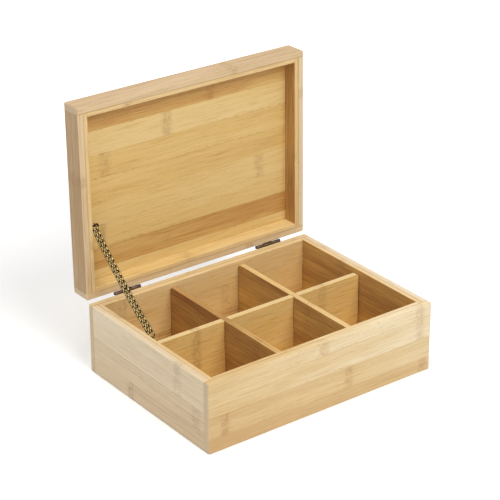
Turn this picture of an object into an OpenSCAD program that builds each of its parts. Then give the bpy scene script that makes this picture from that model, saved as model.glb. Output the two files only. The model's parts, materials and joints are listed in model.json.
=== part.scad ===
// Tea bag organizer box: a bamboo box with six compartments, a hinged lid and a chain
// that stops the lid just past upright. It is drawn with the lid open.
// The origin is under the middle of the box, +Z is up and the box opens towards -Y.

/* [Box] */
// Outer width, left to right
box_w = 220; // [200:1:260]
// Outer depth, front to back
box_d = 163; // [150:1:190]
// Height of the box up to its rim
box_h = 60; // [50:1:80]
// Thickness of the boards of the box and the rails of the lid
board_t = 9; // [8:0.5:11]
// Thickness left on a front or back board where a side board laps it
lap_t = 6; // [5:0.5:7]
// Thickness of the floor
floor_t = 5; // [4:0.5:8]
// Radius of the upright outer corners
corner_r = 1.5; // [1:0.25:3]

/* [Lid] */
// Height of the lid from its rim to its top
lid_h = 19; // [17:0.5:26]
// Thickness of the lid's panel
lid_panel_t = 6; // [4:0.5:7]
// Gap between the two rims when the lid is closed
rim_gap = 0.5; // [0.3:0.1:1]
// Angle that the lid opens to
open_angle = 91; // [88:1:96]

/* [Dividers] */
// Thickness of a divider
divider_t = 5; // [4:0.5:6]
// How far the dividers stay below the rim
divider_drop = 3; // [2:0.5:8]
// Radius of the dividers' top corners
divider_corner_r = 2.5; // [1:0.5:5]

/* [Hinges] */
// Length of a hinge
hinge_l = 25; // [20:1:32]
// From the end of the box to the hinge
hinge_inset = 26; // [15:1:40]
// Height of a leaf, from the pin's axis to its edge
leaf_h = 10; // [9:0.5:12]
// Thickness of a leaf
leaf_t = 0.8; // [0.7:0.1:1]
// Radius of a knuckle
knuckle_r = 1.5; // [1.4:0.1:1.8]
// Radius of a hinge pin
pin_r = 0.7; // [0.6:0.1:0.8]

/* [Chain] */
// Thickness of the wire that the links are bent from
wire_d = 1.2; // [1:0.1:1.3]
// Outer width of a link
link_w = 5.7; // [5.4:0.1:6]
// Turn of each bend of the chain when the lid is open, which makes its sag
chain_sag = 1; // [0.25:0.25:2]
// Depth of the chain's end below the rim of the lid
chain_lid_depth = 4; // [3.5:0.5:5]
// Depth of the chain's end below the rim of the box
chain_box_depth = 4; // [3:0.5:6]

/* [Hidden] */

front_bamboo = "#ead2a0";
side_bamboo = "#cfb791";
inner_bamboo = "#d2a862";
lid_bamboo = "#dcb878";
bronze = "#4b3a28";

round_fn = 48;
wire_fn = 24;

// Box
inner_w = box_w - 2 * board_t;
inner_d = box_d - 2 * board_t;
side_l = box_d - 2 * lap_t;
lid_rim_z = box_h + rim_gap;

// Dividers
divider_h = box_h - floor_t - divider_drop;
divider_ease = 0.3;
slot_ease = 0.1;
columns = 3;
column_pitch = (inner_w + divider_t) / columns;

// Hinges
knuckle_ease = 0.1;
bore_ease = 0.05;
knuckle_gap = 0.15;
knuckles = 3;
knuckle_l = hinge_l / knuckles;
pin_proud = 0.3;
axis_y = box_d / 2 + knuckle_r + knuckle_ease;
axis_z = box_h + rim_gap / 2;
leaf_edge = knuckle_r + 0.4;

// Screws
screw_r = 0.7;
screw_hole_ease = 0.1;
screw_depth = 6.5;
screw_head_r = 1.8;
screw_head_t = 0.8;
screw_slot_w = 0.4;
screw_slot_t = 0.35;
screw_row = (leaf_edge + leaf_h) / 2;
screw_inset = 0.2 * hinge_l;

// Chain, drawn between its start in the lid and its free end in the box
runs = 11;
links_per_run = 2;
links = runs * links_per_run;
wire_r = wire_d / 2;
link_r = link_w / 2 - wire_r;
link_tilt = 45;
link_gap = 0.3;
chain_x_lid = 2.7;
chain_x_box = 5;
free_end_from_divider = 10.1;
ends_apart = 7.5;
flat_link_ease = 0.1;
screw_ease = 0.05;
// How far the screw's axis lies inside the end of a tilted link, and of a flat one
tilted_hook = 0.8;
flat_hook = wire_r + screw_ease + screw_r - (link_gap + wire_d) / 2;

free_end_y = divider_t / 2 + free_end_from_divider;
free_end_z = box_h - chain_box_depth;
start_closed = [free_end_y + ends_apart - axis_y, lid_rim_z + chain_lid_depth - axis_z];
chain_start = [
    axis_y + start_closed[0] * cos(open_angle) + start_closed[1] * sin(open_angle),
    axis_z - start_closed[0] * sin(open_angle) + start_closed[1] * cos(open_angle)
];
chord = [free_end_y, free_end_z] - chain_start;
run_l = norm(chord) * sin(chain_sag / 2) / sin(runs * chain_sag / 2);
first_heading = atan2(chord[1], chord[0]) + chain_sag * (runs - 1) / 2;
pitch = run_l / links_per_run;
link_straight = pitch + link_gap + wire_d - 2 * link_r;

function run_heading(i) = first_heading - i * chain_sag;
function run_start(i) = i == 0 ? chain_start : run_start(i - 1) + run_l * heading(run_heading(i - 1));
function heading(angle) = [cos(angle), sin(angle)];
function chain_x(count) = chain_x_lid + (chain_x_box - chain_x_lid) * count / links;

lid_screw_at = chain_start + tilted_hook * heading(first_heading);
box_screw_at = run_start(runs) + (pitch - flat_hook) * heading(run_heading(runs - 1));

module open_lid() {
    translate([0, axis_y, axis_z])
        rotate([-open_angle, 0, 0])
            translate([0, -axis_y, -axis_z])
                children();
}

// A board across the full width, outer face at y = 0, with a lap for the side board at each end
module wide_board(height) {
    linear_extrude(height)
        difference() {
            union() {
                translate([-box_w / 2 + corner_r, 0])
                    square([box_w - 2 * corner_r, board_t]);
                translate([-box_w / 2, corner_r])
                    square([box_w, board_t - corner_r]);
                for (side = [-1, 1])
                    translate([side * (box_w / 2 - corner_r), corner_r])
                        circle(corner_r, $fn = round_fn);
            }
            for (side = [-1, 1])
                translate([side * (box_w / 2), lap_t + board_t])
                    square([2 * board_t, 2 * board_t], center = true);
        }
}

module front_place(height, z) {
    translate([0, -box_d / 2, z])
        wide_board(height);
}

module back_place(height, z) {
    translate([0, box_d / 2, z])
        rotate([0, 0, 180])
            wide_board(height);
}

module side_place(side, height, z) {
    translate([side * (box_w - board_t) / 2, 0, z + height / 2])
        cube([board_t, side_l, height], center = true);
}

// One screw along +Z: its head on z = 0 and its shank below
module screw(shank_l) {
    difference() {
        cylinder(h = screw_head_t, r1 = screw_head_r, r2 = 0.75 * screw_head_r, $fn = round_fn);
        translate([0, 0, screw_head_t])
            cube([2 * screw_head_r, screw_slot_w, 2 * screw_slot_t], center = true);
    }
    translate([0, 0, -shank_l])
        cylinder(h = shank_l, r = screw_r, $fn = round_fn);
}

module shank_hole(shank_l, ease = 0) {
    translate([0, 0, -shank_l])
        cylinder(h = 2 * shank_l, r = screw_r + ease, $fn = round_fn);
}

// Turns a child's +Z into +X, for the screws in the left board and the left rail
module facing_right() {
    rotate([0, 90, 0])
        children();
}

module chain_screw_place(at, standoff) {
    translate([-inner_w / 2 + standoff, at[0], at[1]])
        facing_right()
            children();
}

// Screws of both leaves face +Y; level is the row's height from the pin's axis
module leaf_screw_places(level) {
    for (side = [-1, 1], end = [0, 1])
        translate([
            side * (box_w / 2 - hinge_inset - screw_inset - end * (hinge_l - 2 * screw_inset)),
            box_d / 2 + leaf_t,
            axis_z + level
        ])
            rotate([-90, 0, 0])
                children();
}

module hinge_place(side) {
    translate([side * (box_w / 2 - hinge_inset - hinge_l / 2), axis_y, axis_z])
        children();
}

module knuckle(index) {
    translate([(index - (knuckles - 1) / 2) * knuckle_l, 0, 0])
        rotate([0, 90, 0])
            cylinder(h = knuckle_l - knuckle_gap, r = knuckle_r, center = true, $fn = round_fn);
}

// A leaf below the pin's axis, flat against the board behind it, with the knuckles in the list
module leaf(which, bore_r) {
    difference() {
        union() {
            translate([-hinge_l / 2, -knuckle_r - knuckle_ease, -leaf_h])
                cube([hinge_l, leaf_t, leaf_h - leaf_edge]);
            for (index = which) {
                knuckle(index);
                translate([
                    (index - knuckles / 2) * knuckle_l + knuckle_gap / 2,
                    -knuckle_r - knuckle_ease,
                    -leaf_h
                ])
                    cube([knuckle_l - knuckle_gap, leaf_t, leaf_h]);
            }
        }
        rotate([0, 90, 0])
            cylinder(h = 2 * hinge_l, r = bore_r, center = true, $fn = round_fn);
    }
}

module box_leaf(side) {
    color(bronze)
        difference() {
            hinge_place(side)
                leaf([0, 2], pin_r);
            leaf_screw_places(-screw_row)
                shank_hole(screw_depth, screw_hole_ease);
        }
}

module lid_leaf(side) {
    color(bronze)
        open_lid()
            difference() {
                hinge_place(side)
                    mirror([0, 0, 1])
                        leaf([1], pin_r + bore_ease);
                leaf_screw_places(screw_row)
                    shank_hole(screw_depth, screw_hole_ease);
            }
}

module hinge_pin(side) {
    color(bronze)
        hinge_place(side)
            rotate([0, 90, 0])
                cylinder(h = hinge_l + 2 * pin_proud, r = pin_r, center = true, $fn = round_fn);
}

module front_board() {
    color(front_bamboo)
        front_place(box_h, 0);
}

module back_board() {
    color(front_bamboo)
        difference() {
            back_place(box_h, 0);
            leaf_screw_places(-screw_row)
                shank_hole(screw_depth);
        }
}

module left_board() {
    color(side_bamboo)
        difference() {
            side_place(-1, box_h, 0);
            chain_screw_place(box_screw_at, 0)
                shank_hole(screw_depth);
        }
}

module right_board() {
    color(side_bamboo)
        side_place(1, box_h, 0);
}

module box_floor() {
    color(inner_bamboo)
        translate([0, 0, floor_t / 2])
            cube([inner_w, inner_d, floor_t], center = true);
}

// A divider's upright outline with rounded top corners, centred on x = 0
module divider_outline(length) {
    difference() {
        union() {
            translate([-length / 2, 0])
                square([length, divider_h - divider_corner_r]);
            translate([-length / 2 + divider_corner_r, 0])
                square([length - 2 * divider_corner_r, divider_h]);
            for (side = [-1, 1])
                translate([side * (length / 2 - divider_corner_r), divider_h - divider_corner_r])
                    circle(divider_corner_r, $fn = round_fn);
        }
        children();
    }
}

module upright(length) {
    translate([0, divider_t / 2, floor_t])
        rotate([90, 0, 0])
            linear_extrude(divider_t)
                divider_outline(length)
                    children();
}

// The long divider is slotted from above and the cross dividers from below
module long_divider() {
    color(inner_bamboo)
        upright(inner_w - 2 * divider_ease)
            for (side = [-1, 1])
                translate([side * column_pitch / 2, divider_h])
                    square([divider_t + 2 * slot_ease, divider_h], center = true);
}

module cross_divider(side) {
    color(inner_bamboo)
        translate([side * column_pitch / 2, 0, 0])
            rotate([0, 0, 90])
                upright(inner_d - 2 * divider_ease)
                    square([divider_t + 2 * slot_ease, divider_h], center = true);
}

module left_cross_divider() {
    cross_divider(-1);
}

module right_cross_divider() {
    cross_divider(1);
}

module left_box_leaf() {
    box_leaf(-1);
}

module right_box_leaf() {
    box_leaf(1);
}

module left_lid_leaf() {
    lid_leaf(-1);
}

module right_lid_leaf() {
    lid_leaf(1);
}

module left_hinge_pin() {
    hinge_pin(-1);
}

module right_hinge_pin() {
    hinge_pin(1);
}

module box_hinge_screws() {
    color(bronze)
        leaf_screw_places(-screw_row)
            screw(screw_depth);
}

module lid_hinge_screws() {
    color(bronze)
        open_lid()
            leaf_screw_places(screw_row)
                screw(screw_depth);
}

module lid_front_rail() {
    color(lid_bamboo)
        open_lid()
            front_place(lid_h, lid_rim_z);
}

module lid_back_rail() {
    color(lid_bamboo)
        open_lid()
            difference() {
                back_place(lid_h, lid_rim_z);
                leaf_screw_places(screw_row)
                    shank_hole(screw_depth);
            }
}

module lid_left_rail() {
    color(side_bamboo)
        difference() {
            open_lid()
                side_place(-1, lid_h, lid_rim_z);
            chain_screw_place(lid_screw_at, 0)
                shank_hole(screw_depth);
        }
}

module lid_right_rail() {
    color(lid_bamboo)
        open_lid()
            side_place(1, lid_h, lid_rim_z);
}

module lid_panel() {
    color(lid_bamboo)
        open_lid()
            translate([0, 0, lid_rim_z + lid_h - lid_panel_t / 2])
                cube([inner_w, inner_d, lid_panel_t], center = true);
}

// A link along +Y, its plane turned about its own length
module link(tilt) {
    rotate([0, tilt, 0])
        for (side = [-1, 1]) {
            translate([side * link_r, 0, 0])
                rotate([90, 0, 0])
                    cylinder(h = link_straight, r = wire_r, center = true, $fn = wire_fn);
            translate([0, side * link_straight / 2, 0])
                rotate([0, 0, side > 0 ? 0 : 180])
                    rotate_extrude(angle = 180, $fn = 2 * wire_fn)
                        translate([link_r, 0])
                            circle(wire_r, $fn = wire_fn);
        }
}

module link_place(run, along, standoff) {
    at = run_start(run) + along * heading(run_heading(run));
    translate([-inner_w / 2 + standoff, at[0], at[1]])
        rotate([run_heading(run), 0, 0])
            children();
}

module chain_links(run) {
    color(bronze)
        for (index = [0:links_per_run - 1])
            link_place(run, (index + 0.5) * pitch, chain_x(run * links_per_run + index + 0.5))
                link(index % 2 == 0 ? link_tilt : -link_tilt);
}

// The chain's last link lies flat on the left board under its screw
module box_chain_link() {
    color(bronze)
        link_place(runs - 1, run_l + 0.5 * pitch, wire_r + flat_link_ease)
            link(90);
}

module box_chain_screw() {
    standoff = wire_d + 2 * flat_link_ease;
    color(bronze)
        chain_screw_place(box_screw_at, standoff)
            screw(screw_depth + standoff);
}

module lid_chain_screw() {
    standoff = chain_x_lid + link_w / 2;
    color(bronze)
        chain_screw_place(lid_screw_at, standoff)
            screw(screw_depth + standoff);
}

front_board();
back_board();
left_board();
right_board();
box_floor();
long_divider();
left_cross_divider();
right_cross_divider();
left_box_leaf();
right_box_leaf();
left_hinge_pin();
right_hinge_pin();
box_hinge_screws();
box_chain_screw();
box_chain_link();
lid_front_rail();
lid_back_rail();
lid_left_rail();
lid_right_rail();
lid_panel();
left_lid_leaf();
right_lid_leaf();
lid_hinge_screws();
lid_chain_screw();
for (run = [0:runs - 1])
    chain_links(run);
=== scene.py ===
import json
import math

import bmesh
import bpy
from mathutils import Matrix, Vector


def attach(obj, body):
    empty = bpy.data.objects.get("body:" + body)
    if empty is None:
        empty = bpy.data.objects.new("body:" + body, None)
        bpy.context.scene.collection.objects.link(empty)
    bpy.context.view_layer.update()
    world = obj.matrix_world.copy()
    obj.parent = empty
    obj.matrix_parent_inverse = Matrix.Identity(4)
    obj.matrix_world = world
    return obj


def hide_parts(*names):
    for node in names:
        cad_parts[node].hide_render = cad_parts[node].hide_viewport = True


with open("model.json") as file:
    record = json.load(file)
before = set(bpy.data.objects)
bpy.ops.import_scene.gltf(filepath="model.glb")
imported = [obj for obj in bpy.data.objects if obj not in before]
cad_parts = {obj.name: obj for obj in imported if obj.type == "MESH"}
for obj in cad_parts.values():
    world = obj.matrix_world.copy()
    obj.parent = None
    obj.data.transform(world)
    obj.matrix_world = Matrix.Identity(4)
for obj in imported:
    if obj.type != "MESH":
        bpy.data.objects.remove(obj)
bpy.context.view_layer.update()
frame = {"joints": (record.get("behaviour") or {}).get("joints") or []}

# Sizes are in millimetres. Those of the box, hinges and dividers repeat the CAD model's
box = {
    "width": 220,
    "depth": 163,
    "height": 60,
    "board": 9,
    "lap": 6,
    "floor": 5,
    "cornerRadius": 1.5,
    "lidHeight": 19,
    "panel": 6,
    "rimGap": 0.5,
    "openAngle": 91,
}
hinge = {
    "length": 25,
    "inset": 26,
    "leafHeight": 10,
    "leafThickness": 0.8,
    "leafEdge": 1.9,  # where the flat part of a leaf begins, from the pin's axis
    "knuckleRadius": 1.5,
    "knuckleGap": 0.15,
    "ease": 0.1,
    "pinRadius": 0.7,
    "pinProud": 0.3,
    "screwInset": 5,
}
innerWidth = box["width"] - 2 * box["board"]
innerDepth = box["depth"] - 2 * box["board"]
sideLength = box["depth"] - 2 * box["lap"]
lidRim = box["height"] + box["rimGap"]
hingeY = box["depth"] / 2 + hinge["knuckleRadius"] + hinge["ease"]
hingeZ = box["height"] + box["rimGap"] / 2

# The lid's pieces are laid out closed, then turned open about the hinges' axis
still = Matrix.Identity(4)
toHinge = Matrix.Translation((0, hingeY, hingeZ))
opening = Matrix.Rotation(-math.radians(box["openAngle"]), 4, "X")
lidTurn = toHinge @ opening @ toHinge.inverted()
toMetres = Matrix.Scale(0.001, 4)


# A screen colour, each part 0 to 255, as the linear colour that a shader takes
def colour(red, green, blue):
    return tuple(((part / 255 + 0.055) / 1.055) ** 2.4 for part in (red, green, blue)) + (1,)


# One link of a node tree, with the arithmetic that the materials and trees below are written in
class Flow:
    def __init__(self, tree, end=None):
        self.tree = tree
        self.end = end

    # Any node: the values or links of its sockets, the output that is meant, and its settings
    def node(self, kind, sockets=None, out=0, **settings):
        made = self.tree.nodes.new(kind)
        for key, value in settings.items():
            setattr(made, key, value)
        for key, value in (sockets or {}).items():
            if isinstance(value, Flow):
                self.tree.links.new(value.end, made.inputs[key])
            else:
                made.inputs[key].default_value = value
        return Flow(self.tree, made.outputs[out] if made.outputs else None)

    def other(self, out):
        return Flow(self.tree, self.end.node.outputs[out])

    def maths(self, operation, *values):
        return self.node("ShaderNodeMath", dict(enumerate(values)), operation=operation)

    def __add__(self, value):
        return self.maths("ADD", self, value)

    __radd__ = __add__

    def __sub__(self, value):
        return self.maths("SUBTRACT", self, value)

    def __rsub__(self, value):
        return self.maths("SUBTRACT", value, self)

    def __mul__(self, value):
        return self.maths("MULTIPLY", self, value)

    __rmul__ = __mul__

    def __truediv__(self, value):
        return self.maths("DIVIDE", self, value)

    def __abs__(self):
        return self.maths("ABSOLUTE", self)

    def atMost(self, value):
        return self.maths("MINIMUM", self, value)

    def atLeast(self, value):
        return self.maths("MAXIMUM", self, value)

    # 0 below low, 1 above high, smooth between
    def rise(self, low, high):
        sockets = {"Value": self, "From Min": low, "From Max": high}
        return self.node("ShaderNodeMapRange", sockets, interpolation_type="SMOOTHSTEP")

    # 1 below low, 0 above high
    def fall(self, low, high):
        return 1 - self.rise(low, high)

    # This much everywhere, and more where the mask is
    def share(self, plain, more):
        return plain + more * self

    # This mask between two colours
    def mix(self, first, second):
        sockets = {0: self, 6: first, 7: second}
        return self.node("ShaderNodeMix", sockets, out=2, data_type="RGBA")

    # Screen colours spaced evenly from 0 to 1, as this value picks them
    def ramp(self, tints):
        made = self.node("ShaderNodeValToRGB", {0: self})
        elements = made.end.node.color_ramp.elements
        for index in range(1, len(tints) - 1):
            elements.new(index / (len(tints) - 1))
        for element, tint in zip(elements, tints):
            element.color = colour(*tint)
        return made

    def vector(self, operation, value, out=0):
        return self.node("ShaderNodeVectorMath", {0: self, 1: value}, out, operation=operation)

    def parts(self):
        split = self.node("ShaderNodeSeparateXYZ", {0: self})
        return split, split.other(1), split.other(2)

    def point(self, x=0, y=0, z=0):
        return self.node("ShaderNodeCombineXYZ", {0: x, 1: y, 2: z})

    def attribute(self, name, out):
        settings = {"attribute_type": "GEOMETRY", "attribute_name": name}
        return self.node("ShaderNodeAttribute", out=out, **settings)

    def noise(self, stretch, detail=2.0, roughness=0.5, distortion=0.0):
        place = self.vector("MULTIPLY", stretch)
        sockets = {"Detail": detail, "Roughness": roughness, "Distortion": distortion}
        return self.node("ShaderNodeTexNoise", {"Vector": place, "Scale": 1.0, **sockets})


def newMaterial(name):
    material = bpy.data.materials.new(name)
    material.use_nodes = True
    material.node_tree.nodes.clear()
    return material, Flow(material.node_tree)


def finishMaterial(flow, sockets, height=None, bump=None):
    if height is not None:
        sockets["Normal"] = flow.node("ShaderNodeBump", {"Height": height, **bump})
    surface = flow.node("ShaderNodeBsdfPrincipled", sockets)
    flow.node("ShaderNodeOutputMaterial", {"Surface": surface})


def newObject(name, content):
    made = bpy.data.objects.new(name, content)
    bpy.context.scene.collection.objects.link(made)
    return made


def aim(subject, place, direction):
    subject.location = place
    subject.rotation_mode = "QUATERNION"
    subject.rotation_quaternion = Vector(direction).to_track_quat("-Z", "Y")


# The camera stands where the photograph's corners say that it stood. Its places are in metres
view = {
    "place": (-0.81135, -1.06074, 0.74685),
    "towards": (0.54353, 0.71967, -0.43203),
    "lens": 135.69,
    "sensor": 36,
    "clip": (0.05, 60),
}
lamps = {
    # name: place in metres, size in metres, strength in watts and colour
    "windowLamp": ((0.1, -1.5, 1.6), 1.3, 30, (1.0, 0.995, 0.98)),
    "skyLamp": ((-0.6, -0.1, 2.1), 1.3, 19, (1.0, 1.0, 1.0)),
    "fillLamp": ((-1.9, -0.4, 0.45), 1.3, 6.5, (0.93, 0.97, 1.0)),
    "backLamp": ((0.2, 1.6, 1.7), 1.3, 12, (1.0, 1.0, 1.0)),
}
studio = {
    "aim": (0, 0, 0.06),  # every lamp looks here
    "ambient": 0.16,
    "floorLook": {"Base Color": colour(244, 244, 244), "Roughness": 0.9, "Specular IOR Level": 0.1},
    "floorSize": 14,
    "floorDrop": 0.0002,
    "lift": 0.2,  # glow that whitens the floor for the camera, near the object
    "whiteFrom": (0.25, 1.1),  # and between these distances it grows to plain white
}

cameraData = bpy.data.cameras.new("camera")
cameraData.lens = view["lens"]
cameraData.sensor_width = view["sensor"]
cameraData.clip_start, cameraData.clip_end = view["clip"]
cameraObject = newObject("camera", cameraData)
aim(cameraObject, view["place"], view["towards"])
bpy.context.scene.camera = cameraObject
bpy.context.scene.view_settings.view_transform = "Standard"

for name, (place, size, power, tint) in lamps.items():
    lampData = bpy.data.lights.new(name, "AREA")
    lampData.shape = "DISK"
    lampData.size = size
    lampData.energy = power
    lampData.color = tint
    aim(newObject(name, lampData), place, Vector(studio["aim"]) - Vector(place))

# The world is a plain ambient light, and white where the camera or a reflection sees it
world = bpy.data.worlds.new("studio")
bpy.context.scene.world = world
world.use_nodes = True
world.node_tree.nodes.clear()
sky = Flow(world.node_tree)
rays = sky.node("ShaderNodeLightPath")
seen = rays.atLeast(rays.other("Is Glossy Ray")).atLeast(rays.other("Is Transmission Ray"))
ambient = (studio["ambient"],) * 3 + (1,)
skyColour = seen.mix(ambient, (1, 1, 1, 1))
background = sky.node("ShaderNodeBackground", {"Color": skyColour, "Strength": 1.0})
sky.node("ShaderNodeOutputWorld", {"Surface": background})

floorPaint, flow = newMaterial("floorPaint")
seen = flow.node("ShaderNodeLightPath")
away = flow.node("ShaderNodeTexCoord", out=3).vector("LENGTH", (0, 0, 0), out=1)
glow = seen * away.rise(*studio["whiteFrom"]).share(studio["lift"], 1 - studio["lift"])
finishMaterial(flow, {**studio["floorLook"], "Emission Color": glow, "Emission Strength": 1.0})
floorMesh = bpy.data.meshes.new("studioFloor")
half = studio["floorSize"] / 2
corners = [(-half, -half, 0), (half, -half, 0), (half, half, 0), (-half, half, 0)]
floorMesh.from_pydata(corners, [], [(0, 1, 2, 3)])
floorMesh.materials.append(floorPaint)
studioFloor = newObject("studioFloor", floorMesh)
studioFloor.location.z = -studio["floorDrop"]
print("studio ready")


# Screen colours of a board's outer and inner layer, each from its palest to its darkest strips
innerTints = [(233, 206, 150), (228, 188, 111), (142, 91, 54)]
bambooTints = {
    "frontBamboo": {
        "slot": "front_bamboo", "fibre": (170, 120, 68),
        "outer": [(235, 217, 182), (219, 191, 141), (201, 165, 115)],
        "inner": [(233, 208, 158), (225, 189, 125), (142, 91, 54)],
    },
    # The side walls' outer tints are greyer and less golden than the front's: painted cool light
    # falling from the left
    "sideBambooCoolLight": {
        "slot": "side_bamboo", "fibre": (160, 120, 82),
        "outer": [(234, 216, 186), (218, 194, 158), (194, 165, 128)],
        "inner": innerTints,
    },
    "innerBamboo": {
        "slot": "inner_bamboo", "fibre": (150, 98, 46),
        "outer": [(233, 211, 166), (225, 197, 146), (210, 172, 118)],
        "inner": innerTints,
    },
    "lidBamboo": {
        "slot": "lid_bamboo", "fibre": (150, 104, 56),
        "outer": [(226, 200, 160), (213, 186, 146), (180, 146, 104)],
        "inner": innerTints,
    },
    "panelBamboo": {
        "slot": "lid_bamboo", "fibre": (146, 100, 50),
        "outer": [(228, 199, 139), (218, 182, 112), (192, 141, 77)],
        "inner": innerTints,
    },
}
patterns = {
    # name: stretch along, across and through the board, detail, roughness and distortion
    "waves": ((0.012, 0.05, 0.05), 2.0, 0.5),
    "cloud": ((0.006, 0.05, 0.05), 1.0, 0.5),
    "streak": ((0.009, 0.32, 0.32), 2.0, 0.5),
    "fibre": ((0.03, 1.0, 1.0), 4.0, 0.7),
    "hair": ((0.1, 3.4, 3.4), 2.0, 0.6),
    "dash": ((0.26, 1.1, 1.1), 1.0, 0.5),
    "pore": ((0.3, 1.3, 1.3), 1.0, 0.5),
    "knot": ((0.6, 0.7, 0.7), 2.0, 0.6, 1.2),
    "blotch": ((0.16, 0.2, 0.2), 2.0, 0.6),
}
masks = {
    # name: the two values that it comes in between, of a pattern or in millimetres
    "band": (2.4, 4.8),
    "bandBlotch": (0.42, 0.6),
    "patch": (2.5, 8.0),
    "patchBlotch": (0.28, 0.46),
    "patchStrength": (0.0, 0.3),
    "curl": (0.01, 0.06),
    "paleKnot": (0.55, 0.68),
    "glueLine": (0.1, 0.5),
    "glueStreak": (0.35, 0.6),
    "stripEdge": (0.4, 1.6),
    "wholeBoard": (60, 90),
    "dash": (0.57, 0.67),
    "dashStreak": (0.42, 0.58),
    "fibre": (0.52, 0.7),
    "endGrain": (0.2, 0.9),
    "pore": (0.5, 0.62),
}
bamboo = {
    "ownShift": (7.1, 3.7, 5.3),  # how far apart two strips' patterns lie
    "waveHeight": 3.0,
    "wander": 5,  # unevenness of a node mark's place
    "bandShare": (0.35, 0.65),  # a node band: this much all over, and this much in blotches
    "glueShare": (0.5, 0.5),
    "dashShare": (0.25, 0.6),  # dark dashes: away from a strip's edge, and more near it
    "dashStreaks": (0.1, 0.9),
    "uneven": (0.7, 0.35),  # how far cloud and streak shift the tone, where fibre is 1
    "innerCalm": 0.35,  # share of it that the inner tints leave out
    "fibreLines": (0.2, 0.22),  # strength of fine fibre, and what the inner tints add
    "dashes": 0.48,
    "bands": 0.42,
    "paleKnots": (0.6, 0.8),  # strength, and how far a dark strip weakens it
    "curls": 0.36,
    "ends": 0.85,
    "endColour": colour(210, 189, 158),
    "pores": 0.28,
    "glueLines": 0.6,
    "roughness": {"plain": 0.48, "hair": 0.16, "patch": 0.05, "ends": 0.16},
    "relief": {"fibre": 0.5, "hair": 0.3, "dashes": 0.4, "curls": 0.6, "glue": 0.7, "pores": 0.5},
    "bump": {"Strength": 0.3, "Distance": 0.00012},
    "specular": 0.3,
}


# The boards carry five attributes. grain is the place in the board along, across and through it.
# strip is the strip's tone, its own shift of the patterns and how far it has the inner tints.
# seam is the distance to the strip's first edge, its width and how far the face is end grain.
# marks is the place and strength of two node marks, and glue is how dark the glue lines are
def makeBamboo(name, tints):
    material, flow = newMaterial(name)
    grain = flow.attribute("grain", 1)
    tone, ownShift, innerLayer = flow.attribute("strip", 1).parts()
    fromEdge, stripWidth, endGrain = flow.attribute("seam", 1).parts()
    marks = flow.attribute("marks", 0)
    mark = marks.node("ShaderNodeSeparateColor", {0: marks})

    shifted = grain.vector("ADD", flow.point(*(ownShift * part for part in bamboo["ownShift"])))
    waves = (shifted.noise(*patterns["waves"]) - 0.5) * bamboo["waveHeight"]
    shifted = shifted.vector("ADD", flow.point(y=waves, z=waves))
    value = {key: shifted.noise(*looks) for key, looks in patterns.items() if key != "waves"}
    cloud, streak, fibre, hair = (value[key] for key in ("cloud", "streak", "fibre", "hair"))
    knot, blotch = value["knot"], value["blotch"]

    # A node mark is a band across the strip with a patch of curled fibre about it
    along = grain.parts()[0]
    wander = (blotch - 0.5) * bamboo["wander"]
    band, patch = 0, 0
    for place, strength in ((mark, mark.other(1)), (mark.other(2), marks.other(3))):
        away = abs(along - place + wander)
        band = away.fall(*masks["band"]) * strength + band
        patch = away.fall(*masks["patch"]) * strength.rise(*masks["patchStrength"]) + patch
    band = band * blotch.rise(*masks["bandBlotch"]).share(*bamboo["bandShare"])
    patch = patch * blotch.rise(*masks["patchBlotch"])
    curls = patch * abs(knot - 0.5).fall(*masks["curl"])

    edge = fromEdge.atMost(stripWidth - fromEdge)
    glue = edge.fall(*masks["glueLine"]) * flow.attribute("glue", 2)
    glue = glue * streak.rise(*masks["glueStreak"]).share(*bamboo["glueShare"])
    nearEdge = edge.fall(*masks["stripEdge"]) * stripWidth.fall(*masks["wholeBoard"])
    dashes = value["dash"].rise(*masks["dash"]) * nearEdge.share(*bamboo["dashShare"])
    dashes = dashes * streak.rise(*masks["dashStreak"]).share(*bamboo["dashStreaks"])
    ends = endGrain.rise(*masks["endGrain"])
    pores = ends * value["pore"].rise(*masks["pore"])

    ofCloud, ofStreak = bamboo["uneven"]
    uneven = (cloud - 0.5) * ofCloud + (streak - 0.5) * ofStreak + (fibre - 0.5)
    shade = tone + uneven * (1 - innerLayer * bamboo["innerCalm"])
    paint = innerLayer.mix(shade.ramp(tints["outer"]), shade.ramp(tints["inner"]))
    pale, dark = colour(*tints["outer"][0]), colour(*tints["fibre"])
    lines = fibre.rise(*masks["fibre"]) * innerLayer.share(*bamboo["fibreLines"])
    strength, weaker = bamboo["paleKnots"]
    paleKnots = patch * knot.rise(*masks["paleKnot"]) * (1 - tone * weaker) * strength
    for cover, tint in (
        (lines, dark),
        (dashes * bamboo["dashes"], dark),
        (band * bamboo["bands"], dark),
        (paleKnots, pale),
        (curls * bamboo["curls"], dark),
        (ends * bamboo["ends"], bamboo["endColour"]),
        (pores * bamboo["pores"], dark),
        (glue * bamboo["glueLines"], dark),
    ):
        paint = cover.mix(paint, tint)
    share, relief = bamboo["roughness"], bamboo["relief"]
    rough = share["plain"] + (hair - 0.5) * share["hair"]
    rough = rough + patch * share["patch"] + ends * share["ends"]
    height = fibre * relief["fibre"] + hair * relief["hair"] - dashes * relief["dashes"]
    height = height - curls * relief["curls"] - glue * relief["glue"] - pores * relief["pores"]
    sockets = {"Base Color": paint, "Roughness": rough, "Specular IOR Level": bamboo["specular"]}
    finishMaterial(flow, sockets, height, bamboo["bump"])
    return material


bambooPaint = {name: makeBamboo(name, tints) for name, tints in bambooTints.items()}
print("bamboo ready")


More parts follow.
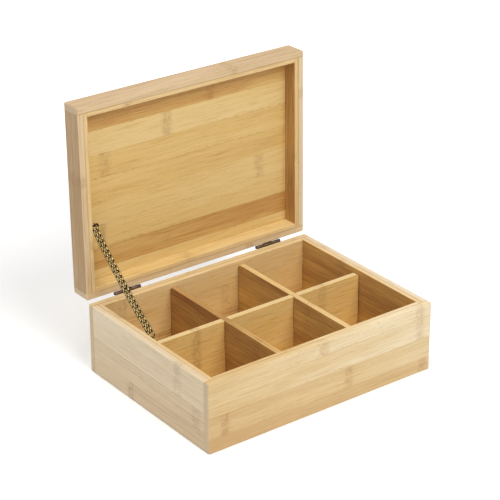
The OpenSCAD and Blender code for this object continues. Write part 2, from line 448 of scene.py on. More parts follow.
boardWork = {
    "ease": 0.7,  # width of an eased edge
    "tight": 0.25,  # width of an edge that meets another board
    "easeSteps": 4,
    "tolerance": 0.01,
    "innerPly": 0.42,  # share of the thickness in the inner layer
    "edgeTinge": 0.55,  # how far the inner layer has the inner tints where it shows in an edge
    "edgeGlue": 0.9,
    "endGlue": 1.0,
    "edgeSeam": 0.7,  # distances to the glue line in an edge are scaled by this
    "steep": 0.7,  # a face turned more than this across the board is an edge, and along it an end
    "farSeam": (50, 100),  # distance and width where no seam shows
    "noMark": (900, 0),
    "sharpAngle": 50,
}
boardLook = {
    "seed": 1,
    "fade": 0,  # how much darker the board gets along it
    "tinge": (0, 0.5),  # how far the faces and edges of an unlayered board have the inner tints
    "edgeTone": (0.25, 0.25),  # tone of a long edge: this, and this share of the strip's
}


# Where a board lies: along, across and through it as directions of the box, and its middle
def lay(along, across, middle):
    u, v = Vector(along), Vector(across)
    place = Matrix((u, v, u.cross(v))).transposed().to_4x4()
    place.translation = middle
    return place


def rectangle(length, width):
    return [(x * length / 2, y * width / 2) for x, y in ((-1, -1), (1, -1), (1, 1), (-1, 1))]


# A board with lapped ends, seen along its width. Its inner face is shorter than its outer face
def lappedOutline():
    end, lapEnd = box["width"] / 2, innerWidth / 2
    outer, lapFace, inner = box["board"] / 2, box["board"] / 2 - box["lap"], -box["board"] / 2
    left = [(-end, outer), (-end, lapFace), (-lapEnd, lapFace), (-lapEnd, inner)]
    return left + [(-x, z) for x, z in reversed(left)]


# What bmesh made, as a mesh with all its faces outward
def newMesh(name, work):
    bmesh.ops.recalc_face_normals(work, faces=work.faces)
    mesh = bpy.data.meshes.new(name)
    work.to_mesh(mesh)
    work.free()
    return mesh


# The object's modifiers end up in its mesh
def settle(subject):
    graph = bpy.context.evaluated_depsgraph_get()
    final = bpy.data.meshes.new_from_object(
        subject.evaluated_get(graph), preserve_all_data_layers=True, depsgraph=graph
    )
    subject.modifiers.clear()
    old = subject.data
    subject.data = final
    final.name = subject.name
    bpy.data.meshes.remove(old)
    return subject


# A closed solid whose outline lies along and across the board, or else along and through it
def prism(outline, height, flat):
    mesh = bmesh.new()
    rings = []
    for level in (-height / 2, height / 2):
        places = [(a, b, level) if flat else (a, level, b) for a, b in outline]
        rings.append([mesh.verts.new(place) for place in places])
    first, second = rings
    mesh.faces.new(first)
    mesh.faces.new(second)
    count = len(outline)
    for index in range(count):
        following = (index + 1) % count
        mesh.faces.new((first[index], first[following], second[following], second[index]))
    return mesh


# The prism, its edges eased: less in the planes of tightAt, and round where a pair of roundAt meets
def easedBoard(name, outline, height, flat, tightAt, roundAt):
    def liesIn(edge, planes):
        gaps = [vertex.co[axis] - value for vertex in edge.verts for axis, value in planes]
        return max(map(abs, gaps)) < boardWork["tolerance"]

    solid = prism(outline, height, flat)
    weight = solid.edges.layers.float.new("bevel_weight_edge")
    for edge in solid.edges:
        width = boardWork["ease"]
        if any(liesIn(edge, pair) for pair in roundAt):
            width = box["cornerRadius"]
        elif any(liesIn(edge, [plane]) for plane in tightAt):
            width = boardWork["tight"]
        edge[weight] = width / box["cornerRadius"]
    board = newObject(name, newMesh(name, solid))
    bevel = board.modifiers.new("easedEdges", "BEVEL")
    bevel.limit_method = "WEIGHT"
    bevel.width = box["cornerRadius"]
    bevel.segments = boardWork["easeSteps"]
    bevel.use_clamp_overlap = True
    return settle(board)


def cutAt(work, axis, value):
    normal = Vector((0, 0, 0))
    normal[axis] = 1
    everything = work.verts[:] + work.edges[:] + work.faces[:]
    bmesh.ops.bisect_plane(work, geom=everything, plane_co=normal * value, plane_no=normal)


# Each layer's strips and the seam between two layers are cut into the mesh
def cutStrips(work, layers, plyEdge):
    starts = []
    lowest = min(vertex.co.y for vertex in work.verts)
    for layer in layers:
        start, found = lowest, []
        for width, *_ in layer:
            found.append(start)
            start += width
        starts.append(found)
        for cut in found[1:]:
            cutAt(work, 1, cut)
    if len(layers) == 2:
        cutAt(work, 2, plyEdge)
    return starts


# Every corner of a face gets the attributes of its strip
def paintStrips(work, layers, starts, plyEdge, look):
    attributes = work.loops.layers
    grain, strip, seam = (attributes.float_vector.new(name) for name in ("grain", "strip", "seam"))
    marks = attributes.float_color.new("marks")
    glue = attributes.float.new("glue")
    layered = len(layers) == 2
    length = 2 * max(vertex.co.x for vertex in work.verts)
    for face in work.faces:
        middle = face.calc_center_median()
        ply = 1 if layered and middle.z < plyEdge else 0
        index = max([0] + [i for i, start in enumerate(starts[ply]) if middle.y > start])
        start = starts[ply][index]
        width, tone, glued, *markedAt = layers[ply][index]
        markedAt = sum(markedAt, ()) + boardWork["noMark"] * (2 - len(markedAt))
        upright = abs(face.normal.y) > boardWork["steep"]
        onEdge = upright and layered
        onEnd = abs(face.normal.x) > boardWork["steep"] and layered
        if upright:
            plain, share = look["edgeTone"]
            tone = plain + share * tone
        inward = look["tinge"][upright]
        if layered:
            inward = ply * (boardWork["edgeTinge"] if upright else 1)
        if onEdge:
            glued = boardWork["edgeGlue"]
        elif onEnd:
            glued = boardWork["endGlue"]
        for loop in face.loops:
            at = loop.vert.co
            fromSeam, across = boardWork["farSeam"]
            if onEdge:
                fromSeam = abs(at.z - plyEdge) * boardWork["edgeSeam"]
            elif onEnd:
                fromSeam = abs(at.z - box["board"] / 2 + box["lap"])
            elif index and not upright:
                fromSeam, across = at.y - start, width
            ownShift = look["seed"] * 11 + index * 5 + ply * 3  # no two strips share a pattern
            loop[grain] = at
            loop[strip] = (tone + look["fade"] * at.x / length, ownShift, inward)
            loop[seam] = (fromSeam, across, face.normal.x ** 2)
            loop[marks] = markedAt
            loop[glue] = glued


# A board has one or two layers of strips, the outer first. Each strip has its width, its tone,
# how dark its glue lines are, and the place and strength of up to two node marks, from below up
def makeBoard(
    name, node, body, finish, outline, height, place, layers,
    flat=True, tightAt=(), roundAt=(), **look,
):
    board = easedBoard(name, outline, height, flat, tightAt, roundAt)
    mesh = board.data
    work = bmesh.new()
    work.from_mesh(mesh)
    heights = [vertex.co.z for vertex in work.verts]
    plyEdge = min(heights) + (max(heights) - min(heights)) * boardWork["innerPly"]
    starts = cutStrips(work, layers, plyEdge)
    paintStrips(work, layers, starts, plyEdge, {**boardLook, **look})
    work.transform(toMetres @ place)
    work.to_mesh(mesh)
    work.free()
    mesh.materials.append(bambooPaint[finish])
    mesh.shade_smooth()
    mesh.set_sharp_from_angle(angle=math.radians(boardWork["sharpAngle"]))
    weighted = board.modifiers.new("flatFaces", "WEIGHTED_NORMAL")
    weighted.keep_sharp = True
    weighted.weight = 100
    settle(board)
    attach(board, body)
    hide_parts(node)


front, side, up = Vector((0, -1, 0)), Vector((1, 0, 0)), Vector((0, 0, 1))
boardY, boardX = (box["depth"] - box["board"]) / 2, (box["width"] - box["board"]) / 2
cornerEdges = [((0, end * box["width"] / 2), (2, box["board"] / 2)) for end in (-1, 1)]
lapSeams = [(2, box["board"] / 2 - box["lap"])] + [(0, end * innerWidth / 2) for end in (-1, 1)]
endSeams = [(0, end * sideLength / 2) for end in (-1, 1)]
levels = {
    # body: the middle, height and turn of its walls
    "box": (box["height"] / 2, box["height"], still),
    "lid": (lidRim + box["lidHeight"] / 2, box["lidHeight"], lidTurn),
}
walls = {
    "frontBoard": {
        "node": "front_board", "body": "box", "finish": "frontBamboo", "facing": front,
        "outer": [
            (12, 0.78, 1.0, (102, 0.8)), (18.5, 0.6, 0.5, (-95, 1.0), (25, 0.8)),
            (18.5, 0.33, 0.1, (98, 0.4)), (11, 0.3, 0.1, (0, 0.5), (98, 0.4)),
        ],
        "inner": [(26, 0.3, 0.2, (40, 0.5)), (34, 0.5, 0.2, (-30, 0.6))], "seed": 1, "fade": -0.5,
    },
    "backBoard": {
        "node": "back_board", "body": "box", "finish": "frontBamboo", "facing": -front,
        "outer": [
            (19, 0.2, 0.2, (66, 0.6)), (22, 0.5, 0.2, (-40, 0.8)),
            (19, 0.3, 0.2, (12, 0.5), (-96, 0.4)),
        ],
        "inner": [
            (18, 0.6, 0.2, (52, 0.5)), (24, 0.47, 0.2, (-18, 0.4)), (18, 0.32, 0.2, (84, 0.6)),
        ],
        "seed": 2,
    },
    "leftBoard": {
        "node": "left_board", "body": "box", "finish": "sideBambooCoolLight", "facing": -side,
        "outer": [
            (15, 0.55, 0.3, (-23, 0.9)), (18, 0.46, 0.7, (65, 0.4)), (27, 0.22, 0.2, (41, 0.3)),
        ],
        "inner": [(30, 0.4, 0.2, (30, 0.5)), (30, 0.3, 0.2, (-50, 0.5))], "seed": 3, "fade": 0.15,
    },
    "rightBoard": {
        "node": "right_board", "body": "box", "finish": "sideBambooCoolLight", "facing": side,
        "outer": [
            (17, 0.3, 0.2, (35, 0.7)), (25, 0.5, 0.2, (-20, 0.5)), (18, 0.2, 0.2, (50, 0.6)),
        ],
        "inner": [(22, 0.64, 0.2, (-42, 0.4)), (38, 0.78, 0.2, (22, 0.3))], "seed": 4,
    },
    "lidFrontRail": {
        "node": "lid_front_rail", "body": "lid", "finish": "lidBamboo", "facing": front,
        "outer": [(19, 0.72, 0.2, (38, 0.4))], "inner": [(19, 0.4, 0.2, (-64, 0.4))], "seed": 5,
    },
    "lidBackRail": {
        "node": "lid_back_rail", "body": "lid", "finish": "lidBamboo", "facing": -front,
        "outer": [(19, 0.3, 0.2, (-52, 0.5))], "inner": [(19, 0.2, 0.2, (8, 0.3))], "seed": 6,
    },
    "lidLeftRail": {
        "node": "lid_left_rail", "body": "lid", "finish": "lidBamboo", "facing": -side,
        "outer": [(19, 0.92, 0.2, (20, 0.4))], "inner": [(19, 0.3, 0.2, (-35, 0.4))], "seed": 7,
    },
    "lidRightRail": {
        "node": "lid_right_rail", "body": "lid", "finish": "lidBamboo", "facing": side,
        "outer": [(19, 0.2, 0.2, (-44, 0.4))], "inner": [(19, 0.77, 0.2, (12, 0.2))], "seed": 8,
    },
}


# The front and back walls lap the ends of the side walls
def makeWall(name, node, body, finish, facing, outer, inner, **look):
    middle, height, turn = levels[body]
    if facing.y:
        place = turn @ lay(side * -facing.y, up, facing * boardY + up * middle)
        shape = (lappedOutline(), height)
        edges = {"flat": False, "tightAt": lapSeams, "roundAt": cornerEdges}
    else:
        place = turn @ lay(front * -facing.x, up, facing * boardX + up * middle)
        shape = (rectangle(sideLength, height), box["board"])
        edges = {"tightAt": endSeams}
    makeBoard(name, node, body, finish, *shape, place, [outer, inner], **edges, **look)


for name, wall in walls.items():
    makeWall(name, **wall)

panelStrips = [
    # The first strip, at the top of the open lid, is dark partly from its own tone and partly as
    # painted shade under the lid's rail
    (18, 0.8, 0.2, (24, 0.6)), (20.5, 0.12, 0.2, (-19, 0.5)), (20, 0.42, 0.2, (-79, 0.4)),
    (19.5, 0.52, 0.2), (20.5, 0.3, 0.2, (73, 0.4)), (20, 0.36, 0.2, (-85, 0.8)),
    (18, 0.84, 0.2, (-22, 0.1)), (8.5, 0.25, 0.2),
]
floorStrips = [
    (24, 0.5, 0.2, (12, 0.6)), (26, 0.3, 0.2, (-60, 0.5)), (23, 0.6, 0.2, (70, 0.6)),
    (25, 0.35, 0.2, (-20, 0.4)), (24, 0.5, 0.2, (44, 0.5)), (23, 0.25, 0.2, (-84, 0.5)),
]
panelOutline = rectangle(innerWidth, innerDepth)
panelSeams = [(0, -innerWidth / 2), (0, innerWidth / 2), (1, -innerDepth / 2), (1, innerDepth / 2)]
panelPlace = lidTurn @ lay(side, -front, up * (lidRim + box["lidHeight"] - box["panel"] / 2))
floorPlace = lay(side, -front, up * box["floor"] / 2)
makeBoard(
    "lidPanel", "lid_panel", "lid", "panelBamboo", panelOutline, box["panel"], panelPlace,
    [panelStrips], tightAt=panelSeams, seed=9,
)
makeBoard(
    "boxFloor", "box_floor", "box", "innerBamboo", panelOutline, box["floor"], floorPlace,
    [floorStrips], tightAt=panelSeams, seed=10, tinge=(1, 1),
)
print("boards ready")

divider = {
    "thickness": 5,
    "drop": 3,
    "cornerRadius": 2.5,
    "cornerSteps": 5,
    "endEase": 0.5,
    "slotEase": 0.1,
    "columns": 3,
}
longStrips = [(24, 0.47, 0.2, (-64, 0.6), (62, 0.3)), (28, 0.4, 0.2, (-64, 0.6), (62, 0.3))]
crossDividers = {
    "left": {
        "sign": -1,
        # The upper strip is darker than the lower one: painted shade on the upper part of this
        # divider
        "strips": [(33, 0.77, 0.2, (40, 0.4)), (19, 0.85, 0.2, (-44, 0.3))],
        "look": {"seed": 12, "fade": 0.22, "tinge": (1, 0.85), "edgeTone": (0.3, 0.55)},
    },
    "right": {
        "sign": 1,
        "strips": [(25, 0.66, 0.2, (38, 0.8)), (27, 0.74, 0.2, (-20, 0.3))],
        "look": {"seed": 14, "tinge": (1, 0.4)},
    },
}
dividerHeight = box["height"] - box["floor"] - divider["drop"]
columnPitch = (innerWidth + divider["thickness"]) / divider["columns"]


# An upright divider's outline: rounded top corners, and slots cut from its top or its bottom
def dividerOutline(length, slots, fromTop):
    half, top, radius = length / 2, dividerHeight / 2, divider["cornerRadius"]
    slotHalf = divider["thickness"] / 2 + divider["slotEase"]

    def slotPoints(way):
        found = []
        for middle in sorted(slots, reverse=way < 0):
            found += [(middle - way * slotHalf, -way * top), (middle - way * slotHalf, 0)]
            found += [(middle + way * slotHalf, 0), (middle + way * slotHalf, -way * top)]
        return found

    def corner(sign, first):
        steps = divider["cornerSteps"]
        turns = [math.radians(first + 90 * step / steps) for step in range(steps + 1)]
        middle = (sign * (half - radius), top - radius)
        return [(middle[0] + radius * math.cos(a), middle[1] + radius * math.sin(a)) for a in turns]

    points = [(-half, -top)] + ([] if fromTop else slotPoints(1)) + [(half, -top)]
    return points + corner(1, 0) + (slotPoints(-1) if fromTop else []) + corner(-1, 90)


slotAt = [-columnPitch / 2, columnPitch / 2]
dividerMiddle = up * (box["floor"] + dividerHeight / 2)
longOutline = dividerOutline(innerWidth - 2 * divider["endEase"], slotAt, True)
crossOutline = dividerOutline(innerDepth - 2 * divider["endEase"], [0], False)
makeBoard(
    "longDivider", "long_divider", "box", "innerBamboo", longOutline, divider["thickness"],
    lay(side, up, dividerMiddle), [longStrips], seed=11, tinge=(1, 0.4),
)
for word, cross in crossDividers.items():
    place = lay(-front, up, dividerMiddle + side * cross["sign"] * columnPitch / 2)
    makeBoard(
        word + "CrossDivider", word + "_cross_divider", "box", "innerBamboo", crossOutline,
        divider["thickness"], place, [cross["strips"]], **cross["look"],
    )
print("dividers ready")


# bright is worn metal, deep is patina, and on the chain deep is also painted shade
metals = {
    "chainBrass": {"bright": (174, 151, 101), "deep": (38, 27, 10), "roughness": 0.4},
    "hingeBronze": {"bright": (94, 74, 57), "deep": (44, 34, 27), "roughness": 0.42},
}
metalWork = {
    "cloud": ((420, 420, 420), 3.0, 0.6),
    "speck": ((2600, 2600, 2600), 2.0, 0.5),
    "uneven": 0.7,
    "brightFrom": (0.25, 0.8),
    "specksFrom": (0.62, 0.78),
    "specks": 0.4,
    "deepRoughness": 0.22,
    "speckRoughness": 0.12,
    "metallic": 0.9,
    "bump": {"Strength": 0.18, "Distance": 0.00008},
    "sharpAngle": 40,
}


# The metal's bright colour goes where this attribute is 1 and its deep colour where it is 0. On
# hinges and screws that is handled wear against patina in the hollows. On the chain's links it
# follows which way each face turns, so there it is also painted highlight on the crests and painted
# shade in the holes
def makeMetal(name, look):
    material, flow = newMaterial(name)
    wearAndLight = flow.attribute("wearAndLight", 2)
    place = flow.node("ShaderNodeTexCoord", out=3)
    cloud = place.noise(*metalWork["cloud"])
    speck = place.noise(*metalWork["speck"])
    bright = (wearAndLight + (cloud - 0.5) * metalWork["uneven"]).rise(*metalWork["brightFrom"])
    deep = colour(*look["deep"])
    paint = bright.mix(deep, colour(*look["bright"]))
    paint = (speck.rise(*metalWork["specksFrom"]) * metalWork["specks"]).mix(paint, deep)
    roughness = look["roughness"] + (1 - bright) * metalWork["deepRoughness"]
    roughness = roughness + (speck - 0.5) * metalWork["speckRoughness"]
    sockets = {"Base Color": paint, "Roughness": roughness, "Metallic": metalWork["metallic"]}
    finishMaterial(flow, sockets, cloud * 0.5 + speck * 0.5, metalWork["bump"])
    return material


metalPaint = {name: makeMetal(name, look) for name, look in metals.items()}


# Stores the attribute that picks bright metal or deep colour; on the chain it carries painted
# highlight and painted shade
def wearAndLightAt(mesh, rule):
    wearAndLight = mesh.attributes.new("wearAndLight", "FLOAT", "POINT")
    wearAndLight.data.foreach_set("value", [rule(vertex.co) for vertex in mesh.vertices])


def finishPiece(piece, body, node, turn=still, degrees=metalWork["sharpAngle"]):
    piece.data.transform(toMetres @ turn)
    piece.data.shade_smooth()
    piece.data.set_sharp_from_angle(angle=math.radians(degrees))
    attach(piece, body)
    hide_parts(node)


# A hinge leaf is a sheet rolled round the pin. Its rows go up the leaf and round the roll
leafShape = {
    "rollSteps": 18,
    "rollEnd": 245,  # degrees of roll round the pin
    "cornerRadius": 1.6,
    "cornerSteps": 4,
    "bevel": 0.18,
    "bevelSteps": 2,
    "bevelAngle": 50,
    "wearAndLight": 0.35,
    "knuckleRub": 0.85,
    "knuckleReach": 1.8,
}
pinShape = {
    "segments": 32,
    "dome": [(0, 0), (0.04, 0.4), (0.16, 0.75), (0.4, 1)],  # depths, and shares of the radius
    "wearAndLight": 0.2,
}


def leafRows():
    radius = hinge["knuckleRadius"] - hinge["leafThickness"] / 2
    sheetY = -hinge["knuckleRadius"] - hinge["ease"] + hinge["leafThickness"] / 2
    rows = [(sheetY, -hinge["leafHeight"]), (sheetY, -hinge["leafEdge"]), (-radius, 0)]
    steps = leafShape["rollSteps"]
    for step in range(1, steps + 1):
        angle = math.radians(180 - leafShape["rollEnd"] * step / steps)
        rows.append((radius * math.cos(angle), radius * math.sin(angle)))
    return rows


# The leaf's mid surface: the roll is there only at the leaf's own knuckles
def leafSheet(name, knuckles, mirrored):
    third = hinge["length"] / 3
    gap = hinge["knuckleGap"] / 2
    spans = [((k - 1.5) * third + gap, (k - 0.5) * third - gap) for k in knuckles]
    columns = sorted({-hinge["length"] / 2, hinge["length"] / 2, *sum(spans, ())})
    sheet = bmesh.new()
    grid = [[sheet.verts.new((x, y, z)) for x in columns] for y, z in leafRows()]
    for row, (below, above) in enumerate(zip(grid, grid[1:])):
        for column in range(len(columns) - 1):
            middle = (columns[column] + columns[column + 1]) / 2
            if row == 0 or any(low < middle < high for low, high in spans):
                corners = (below[column], below[column + 1], above[column + 1], above[column])
                sheet.faces.new(corners)
    loose = [vertex for vertex in sheet.verts if not vertex.link_faces]
    bmesh.ops.delete(sheet, geom=loose, context="VERTS")
    bmesh.ops.bevel(
        sheet, geom=[grid[0][0], grid[0][-1]], offset=leafShape["cornerRadius"],
        segments=leafShape["cornerSteps"], affect="VERTICES", profile=0.5,
    )
    if mirrored:
        bmesh.ops.scale(sheet, vec=(1, 1, -1), verts=sheet.verts)
    return newMesh(name, sheet)


def makeLeaf(name, node, body, place, knuckles, mirrored):
    leaf = newObject(name, leafSheet(name, knuckles, mirrored))
    solidify = leaf.modifiers.new("sheet", "SOLIDIFY")
    solidify.thickness = hinge["leafThickness"]
    solidify.offset = 0
    solidify.use_even_offset = True
    bevel = leaf.modifiers.new("edges", "BEVEL")
    bevel.width = leafShape["bevel"]
    bevel.segments = leafShape["bevelSteps"]
    bevel.limit_method = "ANGLE"
    bevel.angle_limit = math.radians(leafShape["bevelAngle"])
    settle(leaf)
    leaf.data.materials.append(metalPaint["hingeBronze"])

    def wearAndLight(at):
        onKnuckle = math.hypot(at.y, at.z) < leafShape["knuckleReach"]
        return leafShape["knuckleRub"] if onKnuckle else leafShape["wearAndLight"]

    wearAndLightAt(leaf.data, wearAndLight)
    finishPiece(leaf, body, node, place)


# A turned piece along X from its profile of places and radii, which begins and ends in a point
def makeTurned(name, profile, segments):
    turned = bmesh.new()
    rings = []
    for x, radius in profile:
        angles = [2 * math.pi * step / segments for step in range(segments if radius else 1)]
        places = [(x, radius * math.cos(a), radius * math.sin(a)) for a in angles]
        rings.append([turned.verts.new(place) for place in places])
    for low, high in zip(rings, rings[1:]):
        for step in range(segments):
            following = (step + 1) % segments
            turns = ((low, step), (low, following), (high, following), (high, step))
            corners = [ring[turn % len(ring)] for ring, turn in turns]
            turned.faces.new(list(dict.fromkeys(corners)))
    return newObject(name, newMesh(name, turned))


pinTip = hinge["length"] / 2 + hinge["pinProud"]
domed = [(pinTip - depth, share * hinge["pinRadius"]) for depth, share in pinShape["dome"]]
pinProfile = domed + [(-x, radius) for x, radius in reversed(domed)]
for word, sign in (("left", -1), ("right", 1)):
    middle = sign * (box["width"] / 2 - hinge["inset"] - hinge["length"] / 2)
    atPin = Matrix.Translation((middle, hingeY, hingeZ))
    makeLeaf(word + "BoxLeaf", word + "_box_leaf", "box", atPin, (0, 2), False)
    makeLeaf(word + "LidLeaf", word + "_lid_leaf", "lid", lidTurn @ atPin, (1,), True)
    pin = makeTurned(word + "HingePin", pinProfile, pinShape["segments"])
    pin.data.materials.append(metalPaint["hingeBronze"])
    wearAndLightAt(pin.data, lambda at: pinShape["wearAndLight"])
    finishPiece(pin, "box", word + "_hinge_pin", atPin)
print("hinges ready")


# Geometry Nodes place the screws and the chain's links. The label of an input tells its kind
inputKinds = {"Count": "NodeSocketInt", "Material": "NodeSocketMaterial"}
inputKinds.update(dict.fromkeys(("Direction", "Start", "Step", "Turn"), "NodeSocketVector"))


def newTree(name, labels):
    tree = bpy.data.node_groups.new(name, "GeometryNodeTree")
    tree.interface.new_socket("Geometry", in_out="INPUT", socket_type="NodeSocketGeometry")
    sockets = {}
    for label in labels:
        kind = inputKinds.get(label, "NodeSocketFloat")
        made = tree.interface.new_socket(label, in_out="INPUT", socket_type=kind)
        sockets[label] = made.identifier
    tree.interface.new_socket("Geometry", in_out="OUTPUT", socket_type="NodeSocketGeometry")
    return Flow(tree).node("NodeGroupInput"), sockets


def endTree(shapes, entry):
    real = shapes.node("GeometryNodeRealizeInstances", {"Geometry": shapes})
    sockets = {"Geometry": real, "Material": entry.other("Material")}
    painted = real.node("GeometryNodeSetMaterial", sockets)
    painted.node("NodeGroupOutput", {0: painted})


# The tree with these values of its inputs, on a mesh of bare points
def grow(name, built, values, points):
    tree, sockets = built
    mesh = bpy.data.meshes.new(name)
    mesh.from_pydata([tuple(point) for point in points], [], [])
    made = newObject(name, mesh)
    modifier = made.modifiers.new(name, "NODES")
    modifier.node_group = tree
    for label, value in values.items():
        modifier[sockets[label]] = value
    return settle(made)


screwShape = {
    "Head Radius": 1.8,
    "Head Height": 0.8,
    "Dome": 0.22,
    "Slot Width": 0.4,
    "Slot Depth": 0.35,
    "Shank Radius": 0.7,
}
screwMesh = {
    "headVertices": 40,
    "sideSteps": 3,
    "faceSteps": 6,
    "topShare": 0.75,  # the head's face is this share of its foot
    "slotReach": 3,  # the slot's cutter is this many head radii long
    "shankVertices": 24,
    "shankOverlap": 0.05,
    "depth": 6.5,
    "sharpAngle": 35,
    "wearAndLight": 0.5,
}


# A slotted round-head screw on every point, its head facing Direction
def screwTree():
    entry, sockets = newTree("screwRow", [*screwShape, "Shank Length", "Direction", "Material"])
    given = entry.other
    cone = {
        "Vertices": screwMesh["headVertices"],
        "Side Segments": screwMesh["sideSteps"],
        "Fill Segments": screwMesh["faceSteps"],
        "Radius Bottom": given("Head Radius"),
        "Radius Top": given("Head Radius") * screwMesh["topShare"],
        "Depth": given("Head Height"),
    }
    head = entry.node("GeometryNodeMeshCone", cone, fill_type="NGON")
    # The head's face is domed: it rises towards its middle
    x, y, z = entry.node("GeometryNodeInputPosition").parts()
    outward = (x * x + y * y) / (given("Head Radius") * given("Head Radius"))
    dome = (1 - outward) * given("Dome") * z / given("Head Height")
    domed = head.node("GeometryNodeSetPosition", {"Geometry": head, "Offset": head.point(z=dome)})
    slotHeight = (given("Slot Depth") + given("Dome")) * 2
    slotLength = given("Head Radius") * screwMesh["slotReach"]
    slotSize = head.point(slotLength, given("Slot Width"), slotHeight)
    cutter = head.node("GeometryNodeMeshCube", {"Size": slotSize})
    slotPlace = head.point(z=given("Head Height") + given("Dome"))
    cutter = head.node("GeometryNodeTransform", {"Geometry": cutter, "Translation": slotPlace})
    pair = {"Mesh 1": domed, "Mesh 2": cutter}
    slotted = head.node("GeometryNodeMeshBoolean", pair, operation="DIFFERENCE")
    cylinder = {
        "Vertices": screwMesh["shankVertices"],
        "Radius": given("Shank Radius"),
        "Depth": given("Shank Length"),
    }
    shank = head.node("GeometryNodeMeshCylinder", cylinder)
    shankPlace = head.point(z=given("Shank Length") * -0.5 + screwMesh["shankOverlap"])
    shank = head.node("GeometryNodeTransform", {"Geometry": shank, "Translation": shankPlace})
    screw = head.node("GeometryNodeJoinGeometry", {0: slotted})
    screw.tree.links.new(shank.end, screw.end.node.inputs[0])
    upward = {"Vector": given("Direction")}
    turned = head.node("FunctionNodeAlignRotationToVector", upward, axis="Z")
    spread = {"Points": given("Geometry"), "Instance": screw, "Rotation": turned}
    endTree(head.node("GeometryNodeInstanceOnPoints", spread), entry)
    return entry.tree, sockets


screwRow = screwTree()


def makeScrews(
    name, node, body, paint, points, shank, direction, turn=still, wearAndLight=screwMesh["wearAndLight"]
):
    own = {"Shank Length": shank, "Direction": direction, "Material": metalPaint[paint]}
    screws = grow(name, screwRow, {**screwShape, **own}, points)
    wearAndLightAt(screws.data, lambda at: wearAndLight)
    finishPiece(screws, body, node, turn, screwMesh["sharpAngle"])


rowHeight = (hinge["leafEdge"] + hinge["leafHeight"]) / 2
outerScrew = box["width"] / 2 - hinge["inset"] - hinge["screwInset"]
innerScrew = outerScrew - hinge["length"] + 2 * hinge["screwInset"]
screwX = [sign * x for sign in (-1, 1) for x in (outerScrew, innerScrew)]
leafFace = box["depth"] / 2 + hinge["leafThickness"]
for word, level, turn in (("box", -rowHeight, still), ("lid", rowHeight, lidTurn)):
    places = [(x, leafFace, hingeZ + level) for x in screwX]
    makeScrews(
        word + "HingeScrews", word + "_hinge_screws", word, "hingeBronze",
        places, screwMesh["depth"], (0, 1, 0), turn,
    )

# The chain hangs in straight runs of two links, one run to a body, from the lid's screw down.
# The link after them lies flat on the wall
chain = {
    "runs": 11,
    "perRun": 2,
    "bend": 1,  # degrees between two runs
    "halfWidth": 2.95,
    "wire": 0.9,  # radius of the wire in the hanging links, and in the flat link
    "flatWire": 0.6,
    "gap": 0.3,
    "sideStart": 3.0,  # distance from the left board at the lid's end, and at the box's end
    "sideEnd": 5.5,
    "tilt": 26.0,  # the chain's flat face turns this far from the wall towards the camera
    "twist": 45.0,
    "pressed": 1.3,
    "flatEase": 0.1,
    "screwEase": 0.05,
    "screwRub": 0.15,
    "ringSteps": 36,
    "wireSteps": 14,
    "sharpAngle": 60,
}
chainWearAndLight = {
    # a link is bright along the tops of its sides, and where two links cross at its ends. Set by
    # which way each face turns, this is partly wear and partly painted highlight; the rest of the
    # link takes the deep colour, patina and painted shade in the holes
    "sideFacing": (0.5, 0.9),
    "sideEnd": (0.4, 0.8),
    "sideStrength": 0.8,
    "endFacing": (0.35, 0.66),
    "endAcross": (0.2, 0.6),
    "endFrom": (0.55, 0.75),
    "endTo": (1.0, 1.15),
}
jointAt = {joint["name"]: Vector(joint["pos_m"]) * 1000 for joint in frame["joints"]}
firstBend = jointAt["chain_bend_1"]
secondRun = jointAt["chain_bend_2"] - firstBend
runLength = math.hypot(secondRun.y, secondRun.z)
pitch = runLength / chain["perRun"]
secondHeading = math.degrees(math.atan2(secondRun.z, secondRun.y))
leftWall = -innerWidth / 2


def heading(run):
    angle = math.radians(secondHeading - (run - 1) * chain["bend"])
    return Vector((0, math.cos(angle), math.sin(angle)))


starts = [Vector((0, firstBend.y, firstBend.z)) - heading(0) * runLength]
for run in range(chain["runs"]):
    starts.append(starts[-1] + heading(run) * runLength)


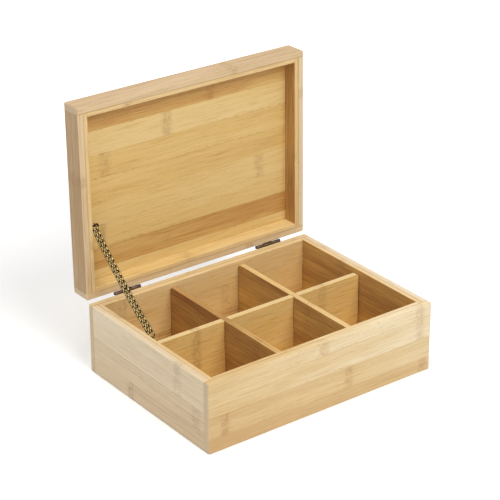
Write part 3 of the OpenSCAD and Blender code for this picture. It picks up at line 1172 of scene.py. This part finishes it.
# Count curb links in a row from Start, each turned about its own length by Tilt
def chainTree():
    sizes = ["Link Radius", "Straight", "Wire Radius", "Tilt", "Twist", "Pressed"]
    entry, inputs = newTree("chainRun", ["Count", "Start", "Step", "Turn", *sizes, "Material"])
    given = entry.other
    at = entry.node("GeometryNodeInputPosition")
    x, y, z = at.parts()

    # An oval of wire: a circle drawn apart along Y
    circle = "GeometryNodeCurvePrimitiveCircle"
    ring = entry.node(circle, {"Resolution": chain["ringSteps"], "Radius": given("Link Radius")})
    apart = at.point(y=y.maths("SIGN", y) * given("Straight") * 0.5)
    oval = at.node("GeometryNodeSetPosition", {"Geometry": ring, "Offset": apart})
    wire = entry.node(circle, {"Resolution": chain["wireSteps"], "Radius": given("Wire Radius")})
    link = at.node("GeometryNodeCurveToMesh", {"Curve": oval, "Profile Curve": wire})

    # The curb twist grows towards the link's ends, and then its two faces are pressed flat
    end = given("Straight") * 0.5 + given("Link Radius")
    twist = given("Twist") * (y / end) * (math.pi / 180)
    sockets = {"Vector": at, "Angle": twist}
    twisted = at.node("ShaderNodeVectorRotate", sockets, rotation_type="Y_AXIS")
    twistedX, twistedY, twistedZ = twisted.parts()
    pressedZ = twistedZ.atMost(given("Pressed")).atLeast(given("Pressed") * -1)
    pressed = at.point(twistedX, twistedY, pressedZ)
    link = at.node("GeometryNodeSetPosition", {"Geometry": link, "Position": pressed})

    # Painted highlight and painted shade, with wear and patina: faces turned out of the link's flat
    # sides get the bright metal, the others the deep colour
    facing = abs(at.node("GeometryNodeInputNormal").parts()[2])
    across, lengthways = abs(x / given("Link Radius")), abs(y / end)
    sideWearAndLight = facing.rise(*chainWearAndLight["sideFacing"]) * lengthways.fall(*chainWearAndLight["sideEnd"])
    endWearAndLight = facing.rise(*chainWearAndLight["endFacing"]) * across.fall(*chainWearAndLight["endAcross"])
    endWearAndLight = endWearAndLight * lengthways.rise(*chainWearAndLight["endFrom"]) * lengthways.fall(*chainWearAndLight["endTo"])
    wearAndLight = sideWearAndLight * chainWearAndLight["sideStrength"] + endWearAndLight
    stored = {"Geometry": link, "Name": "wearAndLight", "Value": wearAndLight}
    link = at.node("GeometryNodeStoreNamedAttribute", stored, data_type="FLOAT", domain="POINT")

    tilt = at.point(y=given("Tilt") * (math.pi / 180))
    link = at.node("GeometryNodeTransform", {"Geometry": link, "Rotation": tilt})
    row = {"Count": given("Count"), "Start Location": given("Start"), "Offset": given("Step")}
    line = at.node("GeometryNodeMeshLine", row, mode="OFFSET")
    turn = at.node("FunctionNodeEulerToRotation", {0: given("Turn")})
    spread = {"Points": line, "Instance": link, "Rotation": turn}
    endTree(at.node("GeometryNodeInstanceOnPoints", spread), entry)
    return entry.tree, inputs


chainRun = chainTree()


# The chain's place across the box, this many links from the lid's screw
def chainSide(count):
    share = count / (chain["runs"] * chain["perRun"])
    return leftWall + chain["sideStart"] + (chain["sideEnd"] - chain["sideStart"]) * share


# Links in line with a run, the first of them this many links from the run's start
def makeLinks(name, node, body, run, first, count, startX, stepX, wire, tilt, twist):
    way = heading(run)
    middle = starts[run] + way * (first * pitch)
    values = {
        "Count": count,
        "Start": (startX, middle.y, middle.z),
        "Step": (stepX, way.y * pitch, way.z * pitch),
        "Turn": (math.atan2(way.z, way.y), 0, 0),
        "Link Radius": chain["halfWidth"] - wire,
        "Straight": pitch + chain["gap"] + 4 * wire - 2 * chain["halfWidth"],
        "Wire Radius": wire,
        "Tilt": tilt,
        "Twist": twist,
        "Pressed": chain["pressed"],
        "Material": metalPaint["chainBrass"],
    }
    piece = grow(name, chainRun, values, [(0, 0, 0)])
    finishPiece(piece, body, node, degrees=chain["sharpAngle"])


for run in range(chain["runs"]):
    number = run + 1
    firstX, secondX = (chainSide(run * chain["perRun"] + middle) for middle in (0.5, 1.5))
    makeLinks(
        f"chainLinks{number}", f"chain_links_{number}", f"chain_{number}",
        run, 0.5, chain["perRun"], firstX, secondX - firstX,
        chain["wire"], chain["tilt"], chain["twist"],
    )
lastRun = chain["runs"] - 1
flatX = leftWall + chain["flatWire"] + chain["flatEase"]
makeLinks(
    "boxChainLink", "box_chain_link", "box", lastRun, chain["perRun"] + 0.5, 1,
    flatX, 0.0, chain["flatWire"], 90.0, 0.0,
)

# How far the box's screw lies inside the end of the flat link
flatHook = chain["flatWire"] + chain["screwEase"] + screwShape["Shank Radius"]
flatHook -= (chain["gap"] + 2 * chain["flatWire"]) / 2
boxScrew = starts[-1] + heading(lastRun) * (pitch - flatHook)
lidScrew = jointAt["chain_swivel"]
lidStandoff = chain["sideStart"] + chain["halfWidth"]
boxStandoff = 2 * chain["flatWire"] + 2 * chain["flatEase"]
for word, at, standoff in (("lid", lidScrew, lidStandoff), ("box", boxScrew, boxStandoff)):
    place = (leftWall + standoff, at.y, at.z)
    makeScrews(
        word + "ChainScrew", word + "_chain_screw", word, "chainBrass",
        [place], screwMesh["depth"] + standoff, (1, 0, 0), wearAndLight=chain["screwRub"],
    )
print("screws and chain ready")
